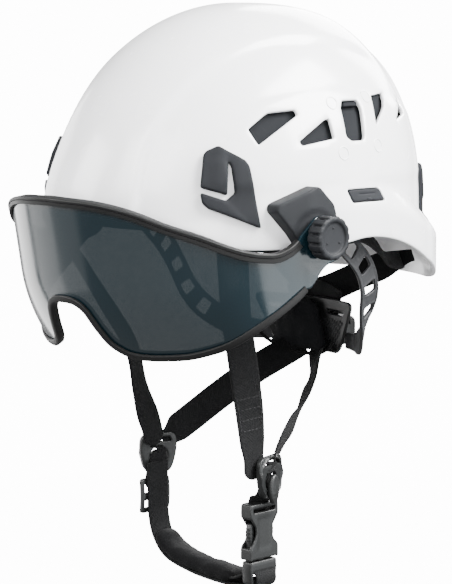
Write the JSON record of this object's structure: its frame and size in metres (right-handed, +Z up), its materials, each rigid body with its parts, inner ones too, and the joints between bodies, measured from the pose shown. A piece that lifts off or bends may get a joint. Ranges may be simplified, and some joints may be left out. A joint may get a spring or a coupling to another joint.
{
  "type": "hard hat",
  "caption": "Work-at-height safety helmet with vented shell, tinted flip-up visor, perforated headband cradle and chin strap harness.",
  "frame": {"origin": "inside the head cavity on the centre line, at the level of the shell's widest ring, where the head holds the helmet", "axes": "+Z up to the crown, -Y the way the wearer looks, +X the wearer's left"},
  "size_m": [0.2608, 0.316, 0.3886],
  "materials": {
    "shell_white": "smooth moulded ABS, semi gloss",
    "clip_grey": "fine-textured dark grey polyamide",
    "trim_charcoal": "satin charcoal edge trim",
    "cradle_grey": "satin mid grey flexible plastic",
    "buckle_black": "satin black acetal",
    "webbing_black": "woven polyester webbing",
    "pad_black": "soft brushed textile over foam",
    "foam_grey": "expanded bead foam",
    "smoke_lens": "smoke tinted polycarbonate, gloss",
    "steel": "plain steel"
  },
  "bodies": {
    "root": {"outer_shell": "shell_white", "vent_screen_left": "clip_grey", "vent_screen_right": "clip_grey", "front_lamp_clip_left": "clip_grey", "front_lamp_clip_right": "clip_grey", "rear_lamp_clip_left": "clip_grey", "rear_lamp_clip_right": "clip_grey", "slot_plug_left": "clip_grey", "slot_plug_right": "clip_grey", "visor_adapter_left": "clip_grey", "visor_adapter_right": "clip_grey", "temple_bracket_left": "clip_grey", "temple_bracket_right": "clip_grey", "front_anchor_left": "clip_grey", "front_anchor_right": "clip_grey", "brow_band": "cradle_grey", "strap_divider_left": "buckle_black", "strap_divider_right": "buckle_black", "buckle_female": "buckle_black", "ladder_lock": "buckle_black", "front_strap_left": "webbing_black", "front_strap_right": "webbing_black", "rear_strap_left": "webbing_black", "rear_strap_right": "webbing_black", "crown_pad": "pad_black", "brow_pad": "pad_black", "inner_liner": "foam_grey", "pivot_stud_left": "steel", "pivot_stud_right": "steel", "pivot_washer_left": "steel", "pivot_washer_right": "steel", "cradle_pin_left": "steel", "cradle_pin_right": "steel"},
    "visor": {"visor_lens": "smoke_lens", "visor_upper_trim": "trim_charcoal", "visor_lower_trim": "trim_charcoal"},
    "knob_left": {"visor_knob_left": "clip_grey"},
    "knob_right": {"visor_knob_right": "clip_grey"},
    "cradle": {"cradle_arm_left": "cradle_grey", "cradle_arm_right": "cradle_grey", "nape_plate": "buckle_black", "nape_pad": "pad_black", "nape_housing": "buckle_black", "nape_strap_left": "webbing_black", "nape_strap_right": "webbing_black"},
    "dial": {"nape_dial": "buckle_black", "nape_pinion": "steel"},
    "rack_left": {"rack_left": "cradle_grey"},
    "rack_right": {"rack_right": "cradle_grey"},
    "lever_left": {"divider_lever_left": "buckle_black"},
    "lever_right": {"divider_lever_right": "buckle_black"},
    "chin": {"buckle_male": "buckle_black", "chin_strap": "webbing_black", "chin_pad": "pad_black"},
    "prong_front": {"buckle_prong_front": "buckle_black"},
    "prong_rear": {"buckle_prong_rear": "buckle_black"}
  },
  "joints": [
    {"name": "visor_lift", "type": "hinge", "parent": "root", "child": "visor", "pos_m": [0, -0.034, -0.001], "axis": [-1, 0, 0], "range_deg": [0, 50]},
    {"name": "knob_left_turn", "type": "hinge", "parent": "root", "child": "knob_left", "pos_m": [0.1189, -0.034, -0.001], "axis": [1, 0, 0], "range_deg": [0, 300]},
    {"name": "knob_right_turn", "type": "hinge", "parent": "root", "child": "knob_right", "pos_m": [-0.1189, -0.034, -0.001], "axis": [1, 0, 0], "range_deg": [-300, 0]},
    {"name": "cradle_tilt", "type": "hinge", "parent": "root", "child": "cradle", "pos_m": [0, 0.005, -0.003], "axis": [1, 0, 0], "range_deg": [0, 8]},
    {"name": "dial_turn", "type": "hinge", "parent": "cradle", "child": "dial", "pos_m": [0, 0.099, -0.083], "axis": [0, 1, 0], "range_deg": [-45, 45]},
    {"name": "rack_left_slide", "type": "slide", "parent": "cradle", "child": "rack_left", "axis": [1, 0, 0], "range_m": [-0.0048, 0.0048]},
    {"name": "rack_right_slide", "type": "slide", "parent": "cradle", "child": "rack_right", "axis": [-1, 0, 0], "range_m": [-0.0048, 0.0048]},
    {"name": "lever_left_flip", "type": "hinge", "parent": "root", "child": "lever_left", "pos_m": [0.05888, -0.01603, -0.1845], "axis": [-0.243, 0.97, 0], "range_deg": [0, 50]},
    {"name": "lever_right_flip", "type": "hinge", "parent": "root", "child": "lever_right", "pos_m": [-0.05888, -0.01603, -0.1845], "axis": [-0.243, -0.97, 0], "range_deg": [0, 50]},
    {"name": "chin_release", "type": "slide", "parent": "root", "child": "chin", "axis": [0, 0, -1], "range_m": [0, 0.028]},
    {"name": "prong_front_press", "type": "slide", "parent": "chin", "child": "prong_front", "axis": [0, 1, 0], "range_m": [0, 0.0022], "stiffness_N_per_m": 600},
    {"name": "prong_rear_press", "type": "slide", "parent": "chin", "child": "prong_rear", "axis": [0, -1, 0], "range_m": [0, 0.0022], "stiffness_N_per_m": 600}
  ],
  "couplings": [
    {"joint": "rack_left_slide", "follows": "dial_turn", "m_per_rad": 0.006},
    {"joint": "rack_right_slide", "follows": "dial_turn", "m_per_rad": 0.006}
  ]
}
